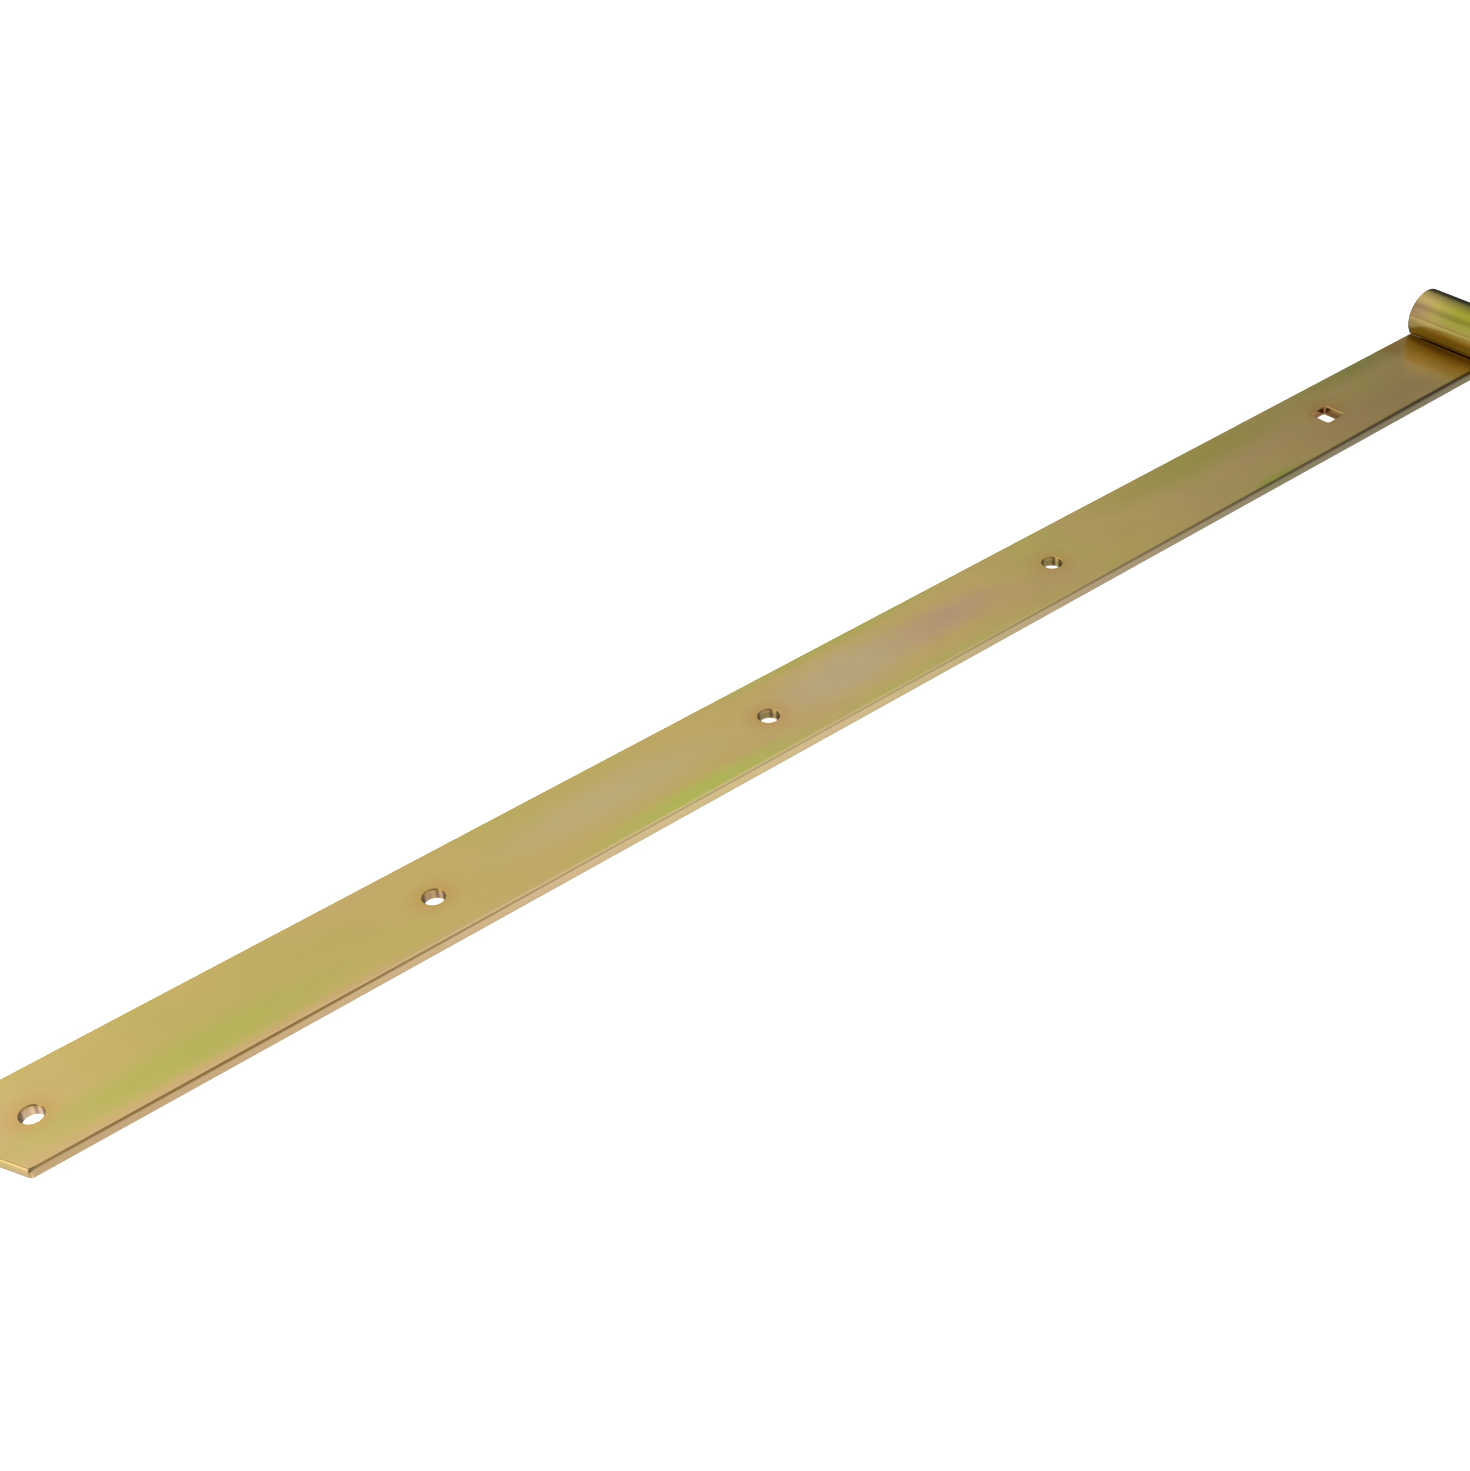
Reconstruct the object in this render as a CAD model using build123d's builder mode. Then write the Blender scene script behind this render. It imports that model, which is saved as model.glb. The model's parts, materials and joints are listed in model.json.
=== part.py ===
from build123d import *
import math
import os

# Lift-off strap hinge for a gate or shutter: a long flat strap with its end rolled into an
# eye, which hangs on the upright pin of a screw-on pintle plate, with a wear ring between.
#
# Frame: the strap's back lies on z = 0 and its eye's axis runs along +Y, above the origin.
# The strap runs from the eye towards -X, and the pintle plate lies beyond the eye on +X.
# Fitted to a gate, +Y points up and +Z points out of the gate's face.

# Strap, in millimetres
strap_length = 700.0  # from the nose to the back of the rolled eye
strap_width = 40.0
strap_thickness = 4.0
strap_edge_radius = 0.8  # softened edges of the flat bar
seam_gap = 0.2  # under the rolled end, where it comes down on the strap
nose_cut_length = 10.8  # corner cuts at the nose, along the strap
nose_cut_width = 18.0  # and across it
nose_corner_radius = 1.0

# Holes in the strap
bolt_hole_diameter = 7.5
bolt_hole_pitch = 140.0
bolt_hole_count = 4
first_hole_from_nose = 21.0
square_hole_side = 9.5  # takes the square neck of an M8 carriage bolt
square_hole_from_axis = 88.0
square_hole_corner_radius = 0.8
hole_rim_radius = 0.3  # rolled-over rim on the side that the punch entered

# Pin and wear ring
pin_diameter = 13.0
pin_running_clearance = 0.5  # radial, between the pin and the strap's eye
pin_tip_recess = 2.5  # from the eye's upper end down to the pin's tip
pin_tip_chamfer = 1.5
pin_neck_diameter = 10.0  # turned down where it is riveted into the ear
rivet_head_diameter = 14.0
rivet_head_height = 2.5
ring_step_in = 0.5  # the ring's outside, in from the eye's
ring_thickness = 2.0
ring_chamfer = 0.3
ring_clearance = 0.3  # radial, between the pin and the ring
end_play = 0.2  # along the pin, on each side of the ring

# Pintle plate
plate_length = 60.0
plate_thickness = 5.0
plate_height = 36.4  # from the ear's bearing face to the plate's upper edge
plate_corner_radius = 4.0
eye_to_plate_gap = 2.5
bend_radius = 3.0  # inside of the ear's bend
ear_step_in = 1.0  # the ear's round end about the pin, in from the eye's outside
ear_flat_length = 6.0  # of its top edge over the plate, before it slopes down
ear_slope_drop = 8.0  # fall of that slope by the plate's far end
screw_hole_diameter = 6.5
screw_head_diameter = 12.0
screw_head_angle = 90.0
screw_margin = 10.0  # from the plate's ends and upper edge to the hole centres
screw_to_bend = 7.4  # from the bend to the lower row of hole centres

# Places worked out from the sizes above
half_width = strap_width / 2
bore_radius = pin_diameter / 2 + pin_running_clearance
eye_radius = bore_radius + strap_thickness
ring_radius = eye_radius - ring_step_in
ear_radius = eye_radius - ear_step_in
nose_x = eye_radius - strap_length
square_hole_x = -square_hole_from_axis
ring_top_y = -half_width - end_play
ear_face_y = ring_top_y - ring_thickness - end_play
ear_back_y = ear_face_y - plate_thickness
plate_start_x = eye_radius + eye_to_plate_gap
plate_end_x = plate_start_x + plate_length
plate_top_y = ear_face_y + plate_height
bend_outer_radius = bend_radius + plate_thickness
ear_top_z = eye_radius + ear_radius
pin_tip_y = half_width - pin_tip_recess

pin_frame = Plane(origin=(0, 0, eye_radius), x_dir=(0, 1, 0), z_dir=(1, 0, 0))
pin_axis = Axis(origin=(0, 0, eye_radius), direction=(0, 1, 0))


def finish(piece, name):
    """Labels a piece and writes its STEP file."""
    piece.label = name
    export_step(piece, f"parts/{name}.step")
    box = piece.bounding_box().size
    print(f"{name}: {box.X:.1f} x {box.Y:.1f} x {box.Z:.1f} mm, {piece.volume:.0f} mm3")


def roll_outline():
    """Side view of the strap: flat bar, then a roll up and over that ends on the strap."""
    seam_drop = eye_radius - strap_thickness - seam_gap
    seam_angle = 180 + math.degrees(math.asin(seam_drop / eye_radius))
    centre = (0, eye_radius)
    with BuildLine() as outline:
        back = Line((nose_x, 0), (0, 0))
        outside = CenterArc(centre, eye_radius, -90, 90 + seam_angle)
        inside = CenterArc(centre, bore_radius, -90, 90 + seam_angle)
        Line(outside @ 1, inside @ 1)
        front = Line(inside @ 0, (nose_x, strap_thickness))
        Line(front @ 1, back @ 0)
    return outline.line


os.makedirs("parts", exist_ok=True)

# Strap: the bar is rolled first, then its nose is cropped and its holes are punched.
side_view = roll_outline()
with BuildPart() as strap:
    with BuildSketch(Plane.XZ):
        with BuildLine():
            add(side_view)
        make_face()
    extrude(amount=half_width, both=True)

    with BuildSketch():
        with BuildLine():
            Polyline(
                (nose_x, half_width - nose_cut_width),
                (nose_x + nose_cut_length, half_width),
                (nose_x, half_width),
                close=True,
            )
        make_face()
        mirror(about=Plane.XZ)
    extrude(amount=strap_thickness, mode=Mode.SUBTRACT)
    fillet(strap.edges().filter_by(Axis.Z), nose_corner_radius)

    # Every edge of the outline is softened, from the nose round both sides of the eye. The
    # rest are the nose's upright corners and the lines across the bar at the roll.
    lines_across = strap.edges().filter_by(Axis.Y).sort_by(Axis.X)
    nose_front_edges = lines_across[:2]
    outline = strap.edges() - strap.edges().filter_by(Axis.Z) - lines_across
    fillet(outline + nose_front_edges, strap_edge_radius)

    last_hole_x = nose_x + first_hole_from_nose + (bolt_hole_count - 1) * bolt_hole_pitch
    row_middle_x = last_hole_x - (bolt_hole_count - 1) * bolt_hole_pitch / 2
    with BuildSketch():
        with Locations((row_middle_x, 0)):
            with GridLocations(bolt_hole_pitch, 0, bolt_hole_count, 1):
                Circle(bolt_hole_diameter / 2)
    extrude(amount=strap_thickness, mode=Mode.SUBTRACT)

    with BuildSketch() as square_hole:
        with Locations((square_hole_x, 0)):
            Rectangle(square_hole_side, square_hole_side)
        fillet(square_hole.vertices(), square_hole_corner_radius)
    extrude(amount=strap_thickness, mode=Mode.SUBTRACT)

    top_face = strap.faces().filter_by(Axis.Z).group_by(Axis.Z)[-1]
    rims = ShapeList(e for f in top_face for w in f.inner_wires() for e in w.edges())
    fillet(rims, hole_rim_radius)

finish(strap.part, "strap")

# Wear ring: carries the strap's eye on the ear.
with BuildPart() as wear_ring:
    with BuildSketch(Plane.XZ.offset(-ring_top_y)):
        with Locations((0, eye_radius)):
            Circle(ring_radius)
            Circle(pin_diameter / 2 + ring_clearance, mode=Mode.SUBTRACT)
    extrude(amount=ring_thickness)
    outer_edges = wear_ring.edges().filter_by(GeomType.CIRCLE).sort_by(SortBy.RADIUS)[-2:]
    chamfer(outer_edges, ring_chamfer)

finish(wear_ring.part, "wear_ring")

# Pintle pin: turned bar with a chamfered tip. Its neck goes through the ear and is riveted over.
with BuildPart() as pintle_pin:
    with BuildSketch(pin_frame):
        with BuildLine():
            Polyline(
                (ear_back_y, 0),
                (ear_back_y, pin_neck_diameter / 2),
                (ear_face_y, pin_neck_diameter / 2),
                (ear_face_y, pin_diameter / 2),
                (pin_tip_y, pin_diameter / 2),
                (pin_tip_y, 0),
                close=True,
            )
        make_face()
    revolve(axis=pin_axis)
    chamfer(pintle_pin.edges().sort_by(Axis.Y)[-1], pin_tip_chamfer)

    # The rivet head is a low dome, a slice of a sphere that stands on the ear's back.
    dome_radius = (rivet_head_diameter**2 / 4 + rivet_head_height**2) / (2 * rivet_head_height)
    dome_top_y = ear_back_y - rivet_head_height
    with BuildSketch(pin_frame):
        with BuildLine():
            rise = RadiusArc(
                (ear_back_y, rivet_head_diameter / 2), (dome_top_y, 0), -dome_radius
            )
            Polyline(rise @ 1, (ear_back_y, 0), rise @ 0)
        make_face()
    revolve(axis=pin_axis)

finish(pintle_pin.part, "pintle_pin")

# Pintle plate: one pressed blank. Its lower edge is bent up into an ear that reaches back
# under the eye and holds the pin.
with BuildPart() as pintle_plate:
    with BuildSketch(Plane.YZ.offset(plate_start_x)):
        with BuildLine():
            Polyline(
                (plate_top_y, 0),
                (ear_back_y, 0),
                (ear_back_y, ear_top_z),
                (ear_face_y, ear_top_z),
                (ear_face_y, plate_thickness),
                (plate_top_y, plate_thickness),
                close=True,
            )
        make_face()
    extrude(amount=plate_length)
    bend_edges = pintle_plate.edges().filter_by(Axis.X)
    fillet(bend_edges.sort_by_distance((plate_start_x, ear_face_y, plate_thickness))[0], bend_radius)
    fillet(bend_edges.sort_by_distance((plate_start_x, ear_back_y, 0))[0], bend_outer_radius)
    fillet(
        pintle_plate.edges().filter_by(Axis.Z).group_by(Axis.Y)[-1],
        plate_corner_radius,
    )

    # The ear's outline slopes down towards the plate's far end.
    with BuildSketch(Plane.XZ.offset(-ear_face_y)):
        with BuildLine():
            Polyline(
                (plate_start_x + ear_flat_length, ear_top_z),
                (plate_end_x, ear_top_z - ear_slope_drop),
                (plate_end_x, ear_top_z),
                close=True,
            )
        make_face()
    extrude(amount=plate_thickness, mode=Mode.SUBTRACT)

    # Its other end reaches round the pin.
    with BuildSketch(Plane.XZ.offset(-ear_face_y)):
        with Locations((0, eye_radius)):
            Circle(ear_radius)
        with BuildLine():
            Polyline(
                (0, ear_top_z),
                (plate_start_x, ear_top_z),
                (plate_start_x, bend_outer_radius),
                (0, eye_radius - ear_radius),
                close=True,
            )
        make_face()
    extrude(amount=plate_thickness)

    with Locations(Plane(origin=(0, ear_face_y, eye_radius), z_dir=(0, 1, 0))):
        Hole(pin_neck_diameter / 2, depth=plate_thickness)

    low_row_y = ear_face_y + bend_radius + screw_to_bend
    high_row_y = plate_top_y - screw_margin
    near_column_x = plate_start_x + screw_margin
    far_column_x = plate_end_x - screw_margin
    with Locations(Plane.XY.offset(plate_thickness)):
        with Locations(((near_column_x + far_column_x) / 2, (low_row_y + high_row_y) / 2)):
            with GridLocations(far_column_x - near_column_x, high_row_y - low_row_y, 2, 2):
                CounterSinkHole(
                    screw_hole_diameter / 2,
                    screw_head_diameter / 2,
                    depth=plate_thickness,
                    counter_sink_angle=screw_head_angle,
                )

finish(pintle_plate.part, "pintle_plate")
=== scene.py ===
import bmesh
import bpy
import json
import math
from mathutils import Matrix, Vector


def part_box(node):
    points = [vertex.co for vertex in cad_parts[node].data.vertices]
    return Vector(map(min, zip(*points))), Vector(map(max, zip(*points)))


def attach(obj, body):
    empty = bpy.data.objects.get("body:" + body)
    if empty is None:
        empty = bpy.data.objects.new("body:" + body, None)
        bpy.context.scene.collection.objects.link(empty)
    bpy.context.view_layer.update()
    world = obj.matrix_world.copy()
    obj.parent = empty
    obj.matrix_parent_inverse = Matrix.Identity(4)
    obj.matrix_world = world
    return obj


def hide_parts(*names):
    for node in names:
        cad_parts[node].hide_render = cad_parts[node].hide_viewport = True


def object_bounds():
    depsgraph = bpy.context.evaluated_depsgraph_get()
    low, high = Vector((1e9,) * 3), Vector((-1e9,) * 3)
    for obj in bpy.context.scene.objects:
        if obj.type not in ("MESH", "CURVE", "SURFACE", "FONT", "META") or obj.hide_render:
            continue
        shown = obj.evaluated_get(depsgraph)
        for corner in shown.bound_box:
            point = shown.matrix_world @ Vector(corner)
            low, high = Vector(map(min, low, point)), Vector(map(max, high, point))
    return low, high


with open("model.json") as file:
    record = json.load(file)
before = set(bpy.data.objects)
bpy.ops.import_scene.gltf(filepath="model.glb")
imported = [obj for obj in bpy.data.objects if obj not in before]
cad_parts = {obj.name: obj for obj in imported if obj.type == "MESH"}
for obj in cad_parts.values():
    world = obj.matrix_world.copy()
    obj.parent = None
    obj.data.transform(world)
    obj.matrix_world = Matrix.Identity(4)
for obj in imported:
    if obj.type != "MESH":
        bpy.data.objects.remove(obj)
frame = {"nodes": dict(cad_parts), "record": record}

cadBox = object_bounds()
mounts = {mount["name"]: mount for mount in frame["record"]["mounts"]}
mm = 0.001
mostly = 0.9        # a test takes this share of a length or a direction for the whole of it


def deselectAll():
    if bpy.context.object and bpy.context.object.mode != "OBJECT":
        bpy.ops.object.mode_set(mode="OBJECT")
    bpy.ops.object.select_all(action="DESELECT")


def pick(obj):
    deselectAll()
    obj.select_set(True)
    bpy.context.view_layer.objects.active = obj


def keepNew(name):
    # names the primitive that was just added, and puts its place into its mesh
    obj = bpy.context.object
    obj.name = name
    obj.data.name = name
    bpy.ops.object.transform_apply(location=True, rotation=True, scale=True)
    return obj


def addBox(name, low, high):
    deselectAll()
    middle = [(a + b) / 2 for a, b in zip(low, high)]
    size = [b - a for a, b in zip(low, high)]
    bpy.ops.mesh.primitive_cube_add(size=1, location=middle, scale=size)
    return keepNew(name)


def addUpright(name, radius, low, high, x, y, sides=64):
    # a round bar that stands along Z
    deselectAll()
    place = (x, y, (low + high) / 2)
    bpy.ops.mesh.primitive_cylinder_add(vertices=sides, radius=radius, depth=high - low, location=place)
    return keepNew(name)


def addAlongPin(name, radius, low, high, sides=96):
    # a round bar that lies along the eye's axis
    deselectAll()
    place = (0, (low + high) / 2, eyeAxisZ)
    turn = (math.pi / 2, 0, 0)
    bpy.ops.mesh.primitive_cylinder_add(
        vertices=sides, radius=radius, depth=high - low, location=place, rotation=turn
    )
    return keepNew(name)


def editPick(obj, kind, test):
    # opens the object in edit mode with just the faces, edges or vertices selected that pass the test
    pick(obj)
    bpy.ops.object.mode_set(mode="EDIT")
    bpy.ops.mesh.select_mode(type=kind)
    bpy.ops.mesh.select_all(action="DESELECT")
    shape = bmesh.from_edit_mesh(obj.data)
    for part in {"FACE": shape.faces, "EDGE": shape.edges, "VERT": shape.verts}[kind]:
        if test(part):
            part.select_set(True)
    shape.select_flush_mode()
    bmesh.update_edit_mesh(obj.data)


def editDone():
    bpy.ops.object.mode_set(mode="OBJECT")


def mendShell(obj):
    # merges doubled points, clears the lines that lie in flat faces, and turns every face outwards
    editPick(obj, "FACE", lambda face: True)
    bpy.ops.mesh.remove_doubles(threshold=0.005 * mm)
    bpy.ops.mesh.dissolve_limited(angle_limit=math.radians(0.5))
    bpy.ops.mesh.select_all(action="SELECT")
    bpy.ops.mesh.normals_make_consistent(inside=False)
    editDone()


def useUp(obj, other, operation):
    # cuts the other shape out of the object, or welds it on
    boolean = obj.modifiers.new(operation, "BOOLEAN")
    boolean.operation = operation
    boolean.solver = "EXACT"
    boolean.object = other
    pick(obj)
    bpy.ops.object.modifier_apply(modifier=boolean.name)
    bpy.data.objects.remove(other)


def softenEdges(obj, width, sharperThan, segments=3):
    bevel = obj.modifiers.new("softened edges", "BEVEL")
    bevel.limit_method = "ANGLE"
    bevel.angle_limit = math.radians(sharperThan)
    bevel.width = width
    bevel.segments = segments
    bevel.use_clamp_overlap = False
    pick(obj)
    bpy.ops.object.modifier_apply(modifier=bevel.name)


def shadeSmooth(obj, sharperThan=35):
    pick(obj)
    bpy.ops.object.shade_smooth_by_angle(angle=math.radians(sharperThan))
    weighted = obj.modifiers.new("flat faces stay flat", "WEIGHTED_NORMAL")
    weighted.keep_sharp = True
    bpy.ops.object.modifier_apply(modifier=weighted.name)


def handOver(obj, node, body):
    # the piece takes over from its CAD node
    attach(obj, body)
    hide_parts(node)
    print(node, "modelled with", len(obj.data.polygons), "faces")


strapLow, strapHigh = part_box("strap")
ringLow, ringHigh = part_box("wear_ring")
eyeAxisZ = strapHigh[2] / 2
endPlay = strapLow[1] - ringHigh[1]
earFaceY = ringLow[1] - endPlay

strapSizes = {
    "thickness": 4 * mm,
    "seamGap": 0.05 * mm,       # between the rolled end and the bar it comes down on
    "rollSteps": 100,
    "noseCutLength": 10.8 * mm, # along the bar
    "noseCutWidth": 18 * mm,    # across it
    "noseCornerRadius": 1 * mm,
    "noseEdgeRadius": 1.2 * mm,
    "edgeRadius": 0.8 * mm,
    "squareSide": 9.5 * mm,
    "squareCornerRadius": 0.8 * mm,
    "rimRadius": 0.5 * mm,
}


def buildStrap(sizes):
    thickness = sizes["thickness"]
    noseX, halfWidth = strapLow[0], strapHigh[1]
    strap = addBox("strapSteel", (noseX, -halfWidth, 0), (0, halfWidth, thickness))

    # the bar's end is rolled up and over, until it comes down on the bar
    seamDrop = eyeAxisZ - thickness - sizes["seamGap"]
    rollAngle = math.radians(270) + math.asin(seamDrop / eyeAxisZ)
    editPick(strap, "FACE", lambda face: face.normal.x > mostly)
    bpy.ops.mesh.spin(
        steps=sizes["rollSteps"], angle=rollAngle, center=(0, 0, eyeAxisZ), axis=(0, 1, 0)
    )
    editDone()
    mendShell(strap)

    # the nose's two corners are cropped
    for side in (1, -1):
        editPick(strap, "FACE", lambda face: True)
        bpy.ops.mesh.bisect(
            plane_co=(noseX + sizes["noseCutLength"], side * halfWidth, 0),
            plane_no=(-sizes["noseCutWidth"], side * sizes["noseCutLength"], 0),
            clear_outer=True,
            use_fill=True,
        )
        editDone()

    def upright(edge):
        a, b = (vert.co for vert in edge.verts)
        return abs(a.z - b.z) > mostly * thickness and (a - b).xy.length < mm

    noseEndX = noseX + 2 * sizes["noseCutLength"]
    editPick(strap, "EDGE", lambda edge: upright(edge) and edge.verts[0].co.x < noseEndX)
    bpy.ops.mesh.bevel(offset=sizes["noseCornerRadius"], segments=4, affect="EDGES")
    editDone()

    # the shears drew the nose's top edge down
    def shearedTop(edge):
        a, b = (vert.co for vert in edge.verts)
        lengthwise = abs(a.y - b.y) < 0.1 * abs(a.x - b.x)
        return min(a.z, b.z) > mostly * thickness and max(a.x, b.x) < noseEndX and not lengthwise

    editPick(strap, "EDGE", shearedTop)
    bpy.ops.mesh.bevel(offset=sizes["noseEdgeRadius"], segments=4, affect="EDGES")
    editDone()
    softenEdges(strap, sizes["edgeRadius"], sharperThan=35)

    # four bolt holes and a square one are punched through
    for name in ("gate_bolts_outer", "gate_bolts_inner"):
        middleX = mounts[name]["pos_m"][0]
        spacing = mounts[name]["dims"]["spacing_x_mm"] * mm
        radius = mounts[name]["dims"]["hole_r_mm"] * mm
        for holeX in (middleX - spacing / 2, middleX + spacing / 2):
            punch = addUpright("roundPunch", radius, -thickness, 2 * thickness, holeX, 0)
            useUp(strap, punch, "DIFFERENCE")
    squareX = mounts["carriage_bolt_hole"]["pos_m"][0]
    half = sizes["squareSide"] / 2
    punch = addBox("squarePunch", (squareX - half, -half, -thickness), (squareX + half, half, 2 * thickness))
    editPick(punch, "EDGE", upright)
    bpy.ops.mesh.bevel(offset=sizes["squareCornerRadius"], segments=5, affect="EDGES")
    editDone()
    useUp(strap, punch, "DIFFERENCE")

    # the punch leaves a small rounded rim on top
    punchedBand = 0.4 * halfWidth
    eyeStartX = -2 * eyeAxisZ

    def punchedRim(edge):
        if len(edge.link_faces) != 2 or edge.calc_face_angle() < math.radians(60):
            return False
        a, b = (vert.co for vert in edge.verts)
        onTop = min(a.z, b.z) > mostly * thickness
        return onTop and max(abs(a.y), abs(b.y)) < punchedBand and a.x < eyeStartX

    editPick(strap, "EDGE", punchedRim)
    bpy.ops.mesh.bevel(offset=sizes["rimRadius"], segments=3, affect="EDGES")
    editDone()
    shadeSmooth(strap)
    handOver(strap, "strap", "leaf")
    return strap


pinSizes = {
    "radius": 6.5 * mm,
    "neckRadius": 5 * mm,
    "tipChamfer": 1.5 * mm,
    "headRadius": 7 * mm,
    "headHeight": 2.5 * mm,
    "headRings": 7,
    "edgeRadius": 0.25 * mm,
}


def turnProfile(bar, endFace, startRadius, profile):
    # draws the bar's end face out along the pin's axis, to a new radius at each step
    editPick(bar, "FACE", endFace)
    radius = startRadius
    for step, nextRadius in profile:
        bpy.ops.mesh.extrude_region_move(TRANSFORM_OT_translate={"value": (0, step, 0)})
        scale = nextRadius / radius
        bpy.ops.transform.resize(value=(scale, 1, scale), center_override=(0, 0, eyeAxisZ))
        radius = nextRadius
    editDone()


def buildPin(sizes, earThickness):
    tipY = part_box("pintle_pin")[1][1]
    radius, neckRadius, chamfer = sizes["radius"], sizes["neckRadius"], sizes["tipChamfer"]
    pin = addAlongPin("pinSteel", radius, earFaceY, tipY - chamfer)
    turnProfile(pin, lambda face: face.normal.y > mostly, radius, [(chamfer, radius - chamfer)])

    # the neck goes through the ear, and its end is riveted over into a low dome
    headRadius, headHeight = sizes["headRadius"], sizes["headHeight"]
    domeRadius = (headRadius ** 2 + headHeight ** 2) / (2 * headHeight)
    spread = math.asin(headRadius / domeRadius)
    profile = [(0, neckRadius), (-earThickness, neckRadius), (0, headRadius)]
    reach = 0
    for ring in range(1, sizes["headRings"] + 1):
        angle = spread * (1 - ring / (sizes["headRings"] + 0.5))    # stops just short of the dome's top
        nextReach = domeRadius * math.cos(angle) - (domeRadius - headHeight)
        profile.append((reach - nextReach, domeRadius * math.sin(angle)))
        reach = nextReach
    turnProfile(pin, lambda face: face.normal.y < -mostly, radius, profile)
    mendShell(pin)
    softenEdges(pin, sizes["edgeRadius"], sharperThan=40)
    shadeSmooth(pin)
    handOver(pin, "pintle_pin", "pintle")
    return pin


ringSizes = {"clearance": 0.3 * mm, "edgeRadius": 0.3 * mm}


def buildRing(sizes):
    radius = (ringHigh[0] - ringLow[0]) / 2
    ring = addAlongPin("ringSteel", radius, ringLow[1], ringHigh[1])
    boreRadius = pinSizes["radius"] + sizes["clearance"]
    useUp(ring, addAlongPin("ringBore", boreRadius, ringLow[1] - mm, ringHigh[1] + mm), "DIFFERENCE")
    softenEdges(ring, sizes["edgeRadius"], sharperThan=40)
    shadeSmooth(ring)
    handOver(ring, "wear_ring", "ring")
    return ring


plateSizes = {
    "thickness": 5 * mm,
    "startBeyondEye": 2.5 * mm,
    "bendRadius": 3 * mm,
    "bendSteps": 12,
    "cornerRadius": 4 * mm,
    "earFlatLength": 6 * mm,
    "earSlopeDrop": 8 * mm,
    "earEndRound": 0.9999,      # of its half height, just short of where the two rounds meet
    "screwHeadRadius": 6 * mm,
    "edgeRadius": 0.5 * mm,
    "rimRadius": 0.25 * mm,
}


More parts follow.
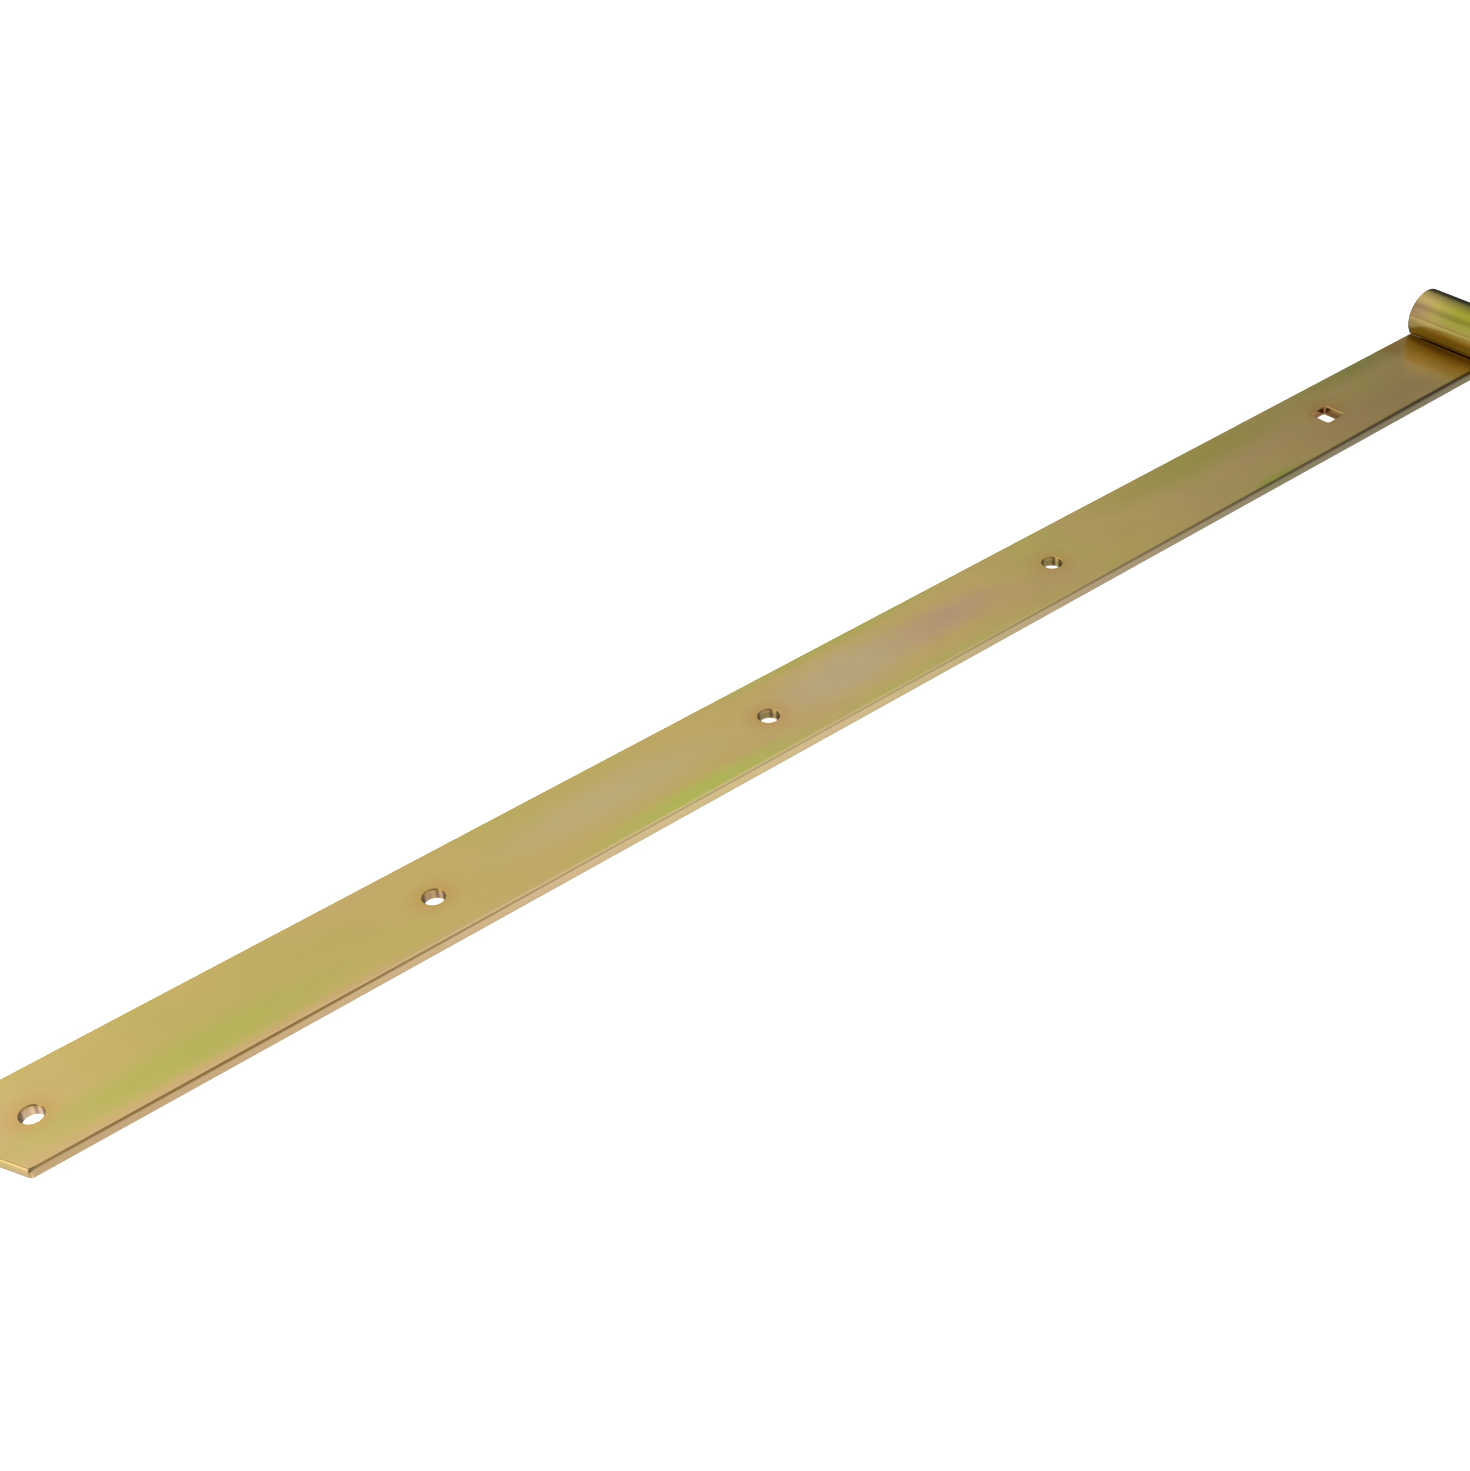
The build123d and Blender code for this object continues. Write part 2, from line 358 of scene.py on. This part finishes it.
def buildPlate(sizes):
    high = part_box("pintle_plate")[1]
    startX, endX, topY, earTopZ = strapHigh[0] + sizes["startBeyondEye"], high[0], high[1], high[2]
    thickness = sizes["thickness"]
    earBackY = earFaceY - thickness
    bendY = earFaceY + sizes["bendRadius"]
    bendZ = thickness + sizes["bendRadius"]

    # the flat blank, its lower edge bent up, and the ear drawn out from the bend
    plate = addBox("plateSteel", (startX, bendY, 0), (endX, topY, thickness))
    editPick(plate, "FACE", lambda face: face.normal.y < -mostly)
    bpy.ops.mesh.spin(
        steps=sizes["bendSteps"], angle=math.pi / 2, center=(0, bendY, bendZ), axis=(1, 0, 0)
    )
    bpy.ops.mesh.extrude_region_move(TRANSFORM_OT_translate={"value": (0, 0, earTopZ - bendZ)})
    editDone()

    # the ear reaches back to the pin and a radius past it, narrowing from above the bend
    earRadius = earTopZ - eyeAxisZ
    editPick(plate, "FACE", lambda face: face.normal.x < -mostly and face.calc_center_median().z > bendZ)
    bpy.ops.mesh.extrude_region_move(TRANSFORM_OT_translate={"value": (-startX, 0, 0)})
    bpy.ops.mesh.extrude_region_move(TRANSFORM_OT_translate={"value": (-earRadius, 0, 0)})
    editDone()
    editPick(plate, "VERT", lambda vert: vert.co.x < 0.5 * startX and vert.co.z < eyeAxisZ)
    bpy.ops.transform.translate(value=(0, 0, eyeAxisZ - earRadius - bendZ))
    editDone()
    mendShell(plate)

    # its end is rounded about the pin
    def earEnd(edge):
        a, b = (vert.co for vert in edge.verts)
        return max(a.x, b.x) < -mostly * earRadius and abs(a.y - b.y) > mostly * thickness

    editPick(plate, "EDGE", earEnd)
    bpy.ops.mesh.bevel(offset=sizes["earEndRound"] * earRadius, segments=32, affect="EDGES")
    editDone()

    def topCorner(edge):
        a, b = (vert.co for vert in edge.verts)
        return abs(a.z - b.z) > mostly * thickness and min(a.y, b.y) > topY - mm

    editPick(plate, "EDGE", topCorner)
    bpy.ops.mesh.bevel(offset=sizes["cornerRadius"], segments=8, affect="EDGES")
    editDone()

    # the ear's top edge slopes down towards the plate's far end
    flatEndX = startX + sizes["earFlatLength"]
    editPick(plate, "FACE", lambda face: True)
    bpy.ops.mesh.bisect(
        plane_co=(flatEndX, 0, earTopZ),
        plane_no=(sizes["earSlopeDrop"], 0, endX - flatEndX),
        clear_outer=True,
        use_fill=True,
    )
    editDone()
    mendShell(plate)
    softenEdges(plate, sizes["edgeRadius"], sharperThan=32)
    neckHole = addAlongPin("neckHole", pinSizes["neckRadius"], earBackY - mm, earFaceY + mm)
    useUp(plate, neckHole, "DIFFERENCE")

    # four countersunk screw holes
    screws = mounts["post_screws"]
    holeRadius = screws["dims"]["hole_r_mm"] * mm
    sink = sizes["screwHeadRadius"] - holeRadius
    for sideX in (-0.5, 0.5):
        for sideY in (-0.5, 0.5):
            x = screws["pos_m"][0] + sideX * screws["dims"]["spacing_x_mm"] * mm
            y = screws["pos_m"][1] + sideY * screws["dims"]["spacing_y_mm"] * mm
            drill = addUpright("drill", holeRadius, -mm, thickness - sink, x, y)
            editPick(drill, "FACE", lambda face: face.normal.z > mostly)
            bpy.ops.mesh.extrude_region_move(TRANSFORM_OT_translate={"value": (0, 0, 2 * sink)})
            scale = (holeRadius + 2 * sink) / holeRadius
            bpy.ops.transform.resize(value=(scale, scale, 1), center_override=(x, y, 0))
            editDone()
            useUp(plate, drill, "DIFFERENCE")

    def drilledRim(edge):
        if len(edge.link_faces) != 2 or edge.calc_face_angle() < math.radians(32):
            return False
        a, b = (vert.co for vert in edge.verts)
        return min(a.x, b.x) > startX and max(a.y, b.y) > bendY

    editPick(plate, "EDGE", drilledRim)
    bpy.ops.mesh.bevel(offset=sizes["rimRadius"], segments=2, affect="EDGES")
    editDone()
    shadeSmooth(plate)
    handOver(plate, "pintle_plate", "pintle")
    return plate


strap = buildStrap(strapSizes)
pin = buildPin(pinSizes, plateSizes["thickness"])
ring = buildRing(ringSizes)
plate = buildPlate(plateSizes)


def linear(hexColour):
    values = [int(hexColour[i:i + 2], 16) / 255 for i in (1, 3, 5)]
    return [v / 12.92 if v <= 0.04045 else ((v + 0.055) / 1.055) ** 2.4 for v in values] + [1]


def addNode(tree, kind, settings=None, links=None):
    # a settings key is an attribute of the node, or else the name or number of an input
    node = tree.nodes.new(kind)
    for key, value in (settings or {}).items():
        if isinstance(key, str) and hasattr(node, key):
            setattr(node, key, value)
        else:
            node.inputs[key].default_value = value
    for key, output in (links or {}).items():
        tree.links.new(output, node.inputs[key])
    return node


# zinc plate in its yellow chromate film: the film is thinner than a hair and never even, so its
# gold drifts into straw, leaf green and rose, and it is thickest and brownest at edges and holes
zincLook = {
    "gold": "#CBB26C",
    "straw": "#C4B45E",
    "green": "#B2B850",
    "rose": "#C6A37C",
    "roughness": 0.2,
    "roughnessDrift": 0.03,
    "cloud": 70 * mm,
    "smudge": 9 * mm,
    "grain": 0.7 * mm,       # really about 0.1 mm, drawn coarser so that it shows
    "grainDepth": 0.002 * mm,
    "rollMark": 0.5 * mm,    # spacing across the bar; the marks run along it
    "rollMarkLength": 60 * mm,
    "rollMarkDepth": 0.004 * mm,
}
smallPieceLook = {**zincLook, "cloud": 26 * mm, "rollMarkLength": 20 * mm}

# the clouds of colour, laid on in turn: their size against the look's, and where their noise fades in
cloudLayers = [
    {"tint": "straw", "size": 1, "low": 0.45, "high": 0.65, "share": 0.7, "shift": 3},
    {"tint": "rose", "size": 1, "low": 0.5, "high": 0.68, "share": 0.7, "shift": 9},
    {"tint": "green", "size": 0.7, "low": 0.52, "high": 0.7, "share": 0.6, "shift": 5},
]
stainFull = 0.9     # a stain fades in from its rim, at 0, to this share of the way to its middle
noiseLow, noiseHigh = 0.35, 0.65    # nearly all of a noise pattern lies between these levels

# soft stains in the strap's film, and one painted highlight along the near top corner, in mm: the colour,
# the middle, and how far it reaches each way
strapStainsAndHighlight = [
    {"colour": "#CCB276", "at": (-690, 0, 4), "reach": (70, 40, 12), "share": 0.7},
    {"colour": "#BFAE60", "at": (-600, 4, 4), "reach": (90, 26, 9), "share": 0.7},
    {"colour": "#B2B456", "at": (-622, -9, 4), "reach": (85, 11, 9), "share": 0.75},
    {"colour": "#C8B684", "at": (-455, 2, 4), "reach": (70, 15, 9), "share": 0.75},
    {"colour": "#BBC25C", "at": (-430, -17, 4), "reach": (70, 9, 9), "share": 0.85},
    {"colour": "#CBB268", "at": (-395, 12, 4), "reach": (40, 14, 9), "share": 0.6},
    {"colour": "#C8B48C", "at": (-350, 1, 4), "reach": (48, 18, 9), "share": 0.85},
    {"colour": "#C6A484", "at": (-303, 1, 4), "reach": (40, 13, 9), "share": 0.8},
    {"colour": "#B9B65A", "at": (-345, 19, 4), "reach": (90, 6, 9), "share": 0.7},
    {"colour": "#BEBA66", "at": (-330, -19, 4), "reach": (80, 7, 9), "share": 0.7},
    {"colour": "#CAA676", "at": (-262, -7, 4), "reach": (35, 14, 9), "share": 0.5},
    {"colour": "#B4AC4C", "at": (-150, 14, 4), "reach": (90, 15, 9), "share": 0.8},
    {"colour": "#C6A46C", "at": (-70, -11, 4), "reach": (80, 16, 9), "share": 0.7},
    {"colour": "#A8A850", "at": (-45, 18, 4), "reach": (60, 10, 9), "share": 0.7},
    {"colour": "#A9B044", "at": (-140, -19, 4), "reach": (20, 5, 9), "share": 0.8},
    {"colour": "#D0AC7C", "at": (-600, -20, 4), "reach": (190, 6, 9), "share": 0.8},
    # painted highlight: a pale cream sheen along the near top corner and the near side face
    {"colour": "#F4D6A4", "at": (-420, -20, 4), "reach": (340, 2.2, 9), "share": 0.7},
]
# painted shade in the crease and a painted orange and brown reflection of the eye on the bar in front of it;
# the square hole's wall is coloured dark red brown and its top orange
creaseShadeAndSquareHole = [
    {"colour": "#BC8C3C", "at": (-13, 0, 4), "reach": (19, 60, 2.5), "share": 0.7},
    # painted shade in the crease
    {"colour": "#8E4A34", "at": (-9, 4, 4), "reach": (6, 30, 2), "share": 0.5},
    {"colour": "#B87C3E", "at": (-25, 17, 4), "reach": (9, 9, 2), "share": 0.5},
    {"colour": "#8A5230", "at": (-88, 0, 1.5), "reach": (24, 24, 2.8), "share": 0.9},
    {"colour": "#C08A46", "at": (-86, 3, 4), "reach": (15, 12, 3), "share": 0.5},
]
# the eye's own chartreuse and pinkish tan tints, with painted shade along its top, a painted reflection of
# the bar on its lower front, a painted reflection of the horizon and a painted highlight at the crease
eyeTintsAndPaintedReflections = [
    {"colour": "#989A30", "at": (-6, -6, 20), "reach": (16, 28, 13), "share": 0.95},
    {"colour": "#B09068", "at": (-8, 17, 17), "reach": (9, 10, 8), "share": 0.85},
    {"colour": "#8C8C50", "at": (-8, 21, 17), "reach": (9, 4, 9), "share": 0.6},
    # painted reflection of the bar, in darker gold
    {"colour": "#9C8C30", "at": (-10, -2, 7), "reach": (5, 60, 7), "share": 0.9},
    # painted shade, a dark olive band along the top
    {"colour": "#5E5826", "at": (5, 0, 21.5), "reach": (13, 60, 6), "share": 0.9},
    # painted highlight on the rolled end's edge
    {"colour": "#FFE9B0", "at": (-8.6, 0, 4.6), "reach": (1.6, 60, 0.7), "share": 0.9},
    # painted reflection of the horizon, a thin brown line
    {"colour": "#9A6C34", "at": (-10.5, 0, 14.2), "reach": (3, 60, 0.7), "share": 0.5},
]
# the dark brown line on the near top corner, broken in the middle, partly the film's own brown and partly
# painted shade of the rounded corner; it is darkest near the eye
cornerLineAndShade = [
    {"colour": "#A07C36", "at": (-610, -19.8, 3.8), "reach": (150, 1, 1), "share": 0.8},
    {"colour": "#4E3408", "at": (-60, -19.8, 3.9), "reach": (300, 1.5, 1.3), "share": 0.95},
    # painted shade on the near top edge by the eye
    {"colour": "#4A3408", "at": (-30, -19.2, 4), "reach": (110, 1.6, 1.2), "share": 0.9},
    # painted shade: the near side face darker towards the eye
    {"colour": "#8C8468", "at": (-60, -20, 2), "reach": (330, 0.8, 6), "share": 0.8},
]
shearedSide = {"colour": "#C8AF8C", "from": 19.75 * mm, "to": 19.98 * mm, "share": 0.9}
holeStain = {"colour": "#C8924E", "height": 4, "reach": (13, 11, 5), "share": 0.5}
# painted light and shade in the round holes' walls: the first wall of each pair is painted light tan, as if
# lit, and the second dark olive, as if in shade
wallPaintedLight = {"height": 1.5, "reach": (17, 17, 2.7), "share": 0.9}
wallLitAndShadedColours = {"gate_bolts_outer": ("#E0C0A4", "#7E7046"), "gate_bolts_inner": ("#B89478", "#86784E")}


def yellowZinc(name, look, stainsAndPaintedLight=(), side=None, clouds=1.0, seed=0):
    material = bpy.data.materials.new(name)
    material.use_nodes = True
    tree = material.node_tree
    tree.nodes.clear()
    place = addNode(tree, "ShaderNodeTexCoord").outputs["Object"]

    def noise(size, detail, shift):
        # size is one length, or a length along each of x, y and z, and the shift keeps patterns apart
        lengths = size if isinstance(size, tuple) else (size, size, size)
        offset = (shift + seed, 0.6 * shift, 0.3 * shift)
        scale = [1 / length for length in lengths]
        spot = addNode(tree, "ShaderNodeMapping", {"Location": offset, "Scale": scale}, {"Vector": place})
        settings = {"Scale": 1, "Detail": detail}
        return addNode(tree, "ShaderNodeTexNoise", settings, {"Vector": spot.outputs[0]}).outputs[0]

    def lay(colour, tint, amount, low, high, share):
        # mixes the tint over the colour where the amount rises from low to high
        fade = {"interpolation_type": "SMOOTHSTEP", "From Min": low, "From Max": high, "To Max": share}
        factor = addNode(tree, "ShaderNodeMapRange", fade, {"Value": amount}).outputs[0]
        settings = {"data_type": "RGBA", 7: linear(tint)}
        return addNode(tree, "ShaderNodeMix", settings, {"Factor": factor, 6: colour}).outputs[2]

    def softPatch(colour, spec):
        middle = [v * mm for v in spec["at"]]
        reach = [v * mm for v in spec["reach"]]
        spot = addNode(
            tree,
            "ShaderNodeMapping",
            {"vector_type": "TEXTURE", "Location": middle, "Scale": reach},
            {"Vector": place},
        )
        ball = addNode(tree, "ShaderNodeTexGradient", {"gradient_type": "SPHERICAL"}, {0: spot.outputs[0]})
        return lay(colour, spec["colour"], ball.outputs["Fac"], 0, stainFull, spec["share"])

    colour = addNode(tree, "ShaderNodeRGB").outputs[0]
    colour.default_value = linear(look["gold"])
    for layer in cloudLayers:
        cloud = noise(layer["size"] * look["cloud"], detail=2, shift=layer["shift"])
        share = layer["share"] * clouds
        colour = lay(colour, look[layer["tint"]], cloud, layer["low"], layer["high"], share)
    if side:
        folded = addNode(tree, "ShaderNodeVectorMath", {"operation": "ABSOLUTE"}, {0: place}).outputs[0]
        across = addNode(tree, "ShaderNodeSeparateXYZ", None, {0: folded}).outputs["Y"]
        colour = lay(colour, side["colour"], across, side["from"], side["to"], side["share"])
    for spec in stainsAndPaintedLight:
        colour = softPatch(colour, spec)

    smudges = addNode(
        tree,
        "ShaderNodeMapRange",
        {
            "From Min": noiseLow,
            "From Max": noiseHigh,
            "To Min": look["roughness"] - look["roughnessDrift"],
            "To Max": look["roughness"] + look["roughnessDrift"],
        },
        {"Value": noise(look["smudge"], detail=3, shift=1)},
    )
    fineGrain = noise(look["grain"], detail=2, shift=7)
    grain = addNode(tree, "ShaderNodeBump", {"Distance": look["grainDepth"]}, {"Height": fineGrain})
    rollMarks = noise((look["rollMarkLength"], look["rollMark"], look["rollMark"]), detail=3, shift=4)
    marks = addNode(
        tree,
        "ShaderNodeBump",
        {"Distance": look["rollMarkDepth"]},
        {"Height": rollMarks, "Normal": grain.outputs[0]},
    )
    surface = addNode(
        tree,
        "ShaderNodeBsdfPrincipled",
        {"Metallic": 1},
        {"Base Color": colour, "Roughness": smudges.outputs[0], "Normal": marks.outputs[0]},
    )
    addNode(tree, "ShaderNodeOutputMaterial", None, {"Surface": surface.outputs[0]})
    return material


def cover(obj, material):
    obj.data.materials.clear()
    obj.data.materials.append(material)


# orange film rings round the round holes, and painted light and shade on their walls
def holeRingsAndWallLight():
    stainsAndPaintedLight = []
    for name, colours in wallLitAndShadedColours.items():
        middleX = mounts[name]["pos_m"][0] / mm
        spacing = mounts[name]["dims"]["spacing_x_mm"]
        for x, wall in zip((middleX - spacing / 2, middleX + spacing / 2), colours):
            stainsAndPaintedLight.append({**holeStain, "at": (x, 0, holeStain["height"])})
            stainsAndPaintedLight.append({**wallPaintedLight, "colour": wall, "at": (x, 0, wallPaintedLight["height"])})
    return stainsAndPaintedLight


# the bar's film stains together with its painted shade, painted highlights and painted reflections
barStainsAndPaintedLight = strapStainsAndHighlight + holeRingsAndWallLight() + creaseShadeAndSquareHole + eyeTintsAndPaintedReflections + cornerLineAndShade
cover(strap, yellowZinc("yellowZincOnFlatBar", zincLook, barStainsAndPaintedLight, shearedSide, clouds=0.4))
cover(plate, yellowZinc("yellowZincOnPressedPlate", smallPieceLook, seed=11))
cover(pin, yellowZinc("yellowZincOnTurnedBar", smallPieceLook, seed=23))
cover(ring, yellowZinc("yellowZincOnRing", smallPieceLook, seed=37))
for node in frame["nodes"].values():    # the CAD nodes get the same finish
    cover(node, plate.data.materials[0])
print("zinc finish laid on")

studio = {
    "skyLow": 0.3,        # light level near the horizon
    "skyHigh": 0.4,       # and from skyTop upwards
    "skyTop": 0.5,
    "floorSize": 20,
    "floorColour": "#F4F4F2",
    "floorRoughness": 0.9,
    "floorGlow": 0.8,
    "lampSize": 4,
    "lampHeight": 3,
    "lampPower": 60,
}

# soft panels and one dark flag round the object: the direction each lies in, its level, and the
# angles off that direction, in degrees, up to which it is full and past which it is gone
softPanels = [
    {"towards": (0.15, 0.66, 0.74), "level": 0.68, "full": 18, "gone": 45},
    {"towards": (-0.87, 0.10, 0.48), "level": 1.4, "full": 8, "gone": 28},
    {"towards": (-0.80, 0.50, 0.28), "level": 0.1, "full": 10, "gone": 35},
    {"towards": (-0.40, 0.55, 0.75), "level": 0.35, "full": 20, "gone": 50},
    {"towards": (0.15, -0.70, -0.70), "level": 0.75, "full": 28, "gone": 55},
    {"towards": (-0.70, 0.20, -0.70), "level": 1.0, "full": 8, "gone": 26},
    {"towards": (-0.95, 0.12, -0.12), "level": 1.0, "full": 12, "gone": 38},
    {"towards": (-0.30, -0.30, -0.90), "level": 0.6, "full": 15, "gone": 36},
    {"towards": (0.47, -0.75, 0.40), "level": 0.42, "full": 25, "gone": 50},
    {"towards": (0.86, 0.50, -0.10), "level": -0.22, "full": 15, "gone": 40},
]


def buildWorld(settings, panels):
    world = bpy.data.worlds.new("studio")
    bpy.context.scene.world = world
    world.use_nodes = True
    tree = world.node_tree
    tree.nodes.clear()
    towards = addNode(tree, "ShaderNodeTexCoord").outputs["Generated"]
    height = addNode(tree, "ShaderNodeSeparateXYZ", None, {0: towards}).outputs["Z"]
    level = addNode(
        tree,
        "ShaderNodeMapRange",
        {"From Max": settings["skyTop"], "To Min": settings["skyLow"], "To Max": settings["skyHigh"]},
        {"Value": height},
    ).outputs[0]
    for panel in panels:
        centre = Vector(panel["towards"]).normalized()
        facing = addNode(tree, "ShaderNodeVectorMath", {"operation": "DOT_PRODUCT", 1: centre}, {0: towards})
        fade = {
            "interpolation_type": "SMOOTHSTEP",
            "From Min": math.cos(math.radians(panel["gone"])),
            "From Max": math.cos(math.radians(panel["full"])),
            "To Max": panel["level"],
        }
        share = addNode(tree, "ShaderNodeMapRange", fade, {"Value": facing.outputs["Value"]}).outputs[0]
        level = addNode(tree, "ShaderNodeMath", {"operation": "ADD"}, {0: level, 1: share}).outputs[0]
    light = addNode(tree, "ShaderNodeBackground", None, {"Strength": level}).outputs[0]
    backdrop = addNode(tree, "ShaderNodeBackground", {"Color": (1, 1, 1, 1)}).outputs[0]
    straight = addNode(tree, "ShaderNodeLightPath").outputs["Is Camera Ray"]
    mix = addNode(tree, "ShaderNodeMixShader", None, {0: straight, 1: light, 2: backdrop})
    addNode(tree, "ShaderNodeOutputWorld", None, {"Surface": mix.outputs[0]})


def buildFloor(settings):
    deselectAll()
    bpy.ops.mesh.primitive_plane_add(size=settings["floorSize"])
    floor = keepNew("floor")
    paper = bpy.data.materials.new("whitePaper")
    paper.use_nodes = True
    surface = paper.node_tree.nodes["Principled BSDF"]
    surface.inputs["Base Color"].default_value = linear(settings["floorColour"])
    surface.inputs["Roughness"].default_value = settings["floorRoughness"]
    surface.inputs["Emission Color"].default_value = (1, 1, 1, 1)
    surface.inputs["Emission Strength"].default_value = settings["floorGlow"]
    cover(floor, paper)
    floor.visible_glossy = False    # the zinc mirrors the soft panels only


def buildLamp(settings):
    deselectAll()
    middle = (cadBox[0][0] + cadBox[1][0]) / 2
    bpy.ops.object.light_add(type="AREA", location=(middle, 0, settings["lampHeight"]))
    lamp = bpy.context.object
    lamp.name = "overheadSoftbox"
    lamp.data.size = settings["lampSize"]
    lamp.data.energy = settings["lampPower"]
    lamp.visible_glossy = False


cameraSettings = {
    "place": (-0.7727, -0.4978, 0.4816),
    "lookAt": (-0.4008, 0.0034, 0),
    "roll": 4.03,
    "lens": 55.15,
    "sensorWidth": 36,
    "nearest": 0.01,
}


def buildCamera(settings):
    deselectAll()
    bpy.ops.object.camera_add(location=settings["place"])
    camera = bpy.context.object
    camera.name = "camera"
    forward = (Vector(settings["lookAt"]) - Vector(settings["place"])).normalized()
    level = forward.to_track_quat("-Z", "Y").to_matrix().to_4x4()
    roll = Matrix.Rotation(math.radians(settings["roll"]), 4, forward)
    camera.matrix_world = Matrix.Translation(settings["place"]) @ roll @ level
    camera.data.lens = settings["lens"]
    camera.data.sensor_width = settings["sensorWidth"]
    camera.data.clip_start = settings["nearest"]
    bpy.context.scene.camera = camera


buildWorld(studio, softPanels)
buildFloor(studio)
buildLamp(studio)
buildCamera(cameraSettings)
bpy.context.scene.view_settings.view_transform = "Standard"
print("studio and camera ready")
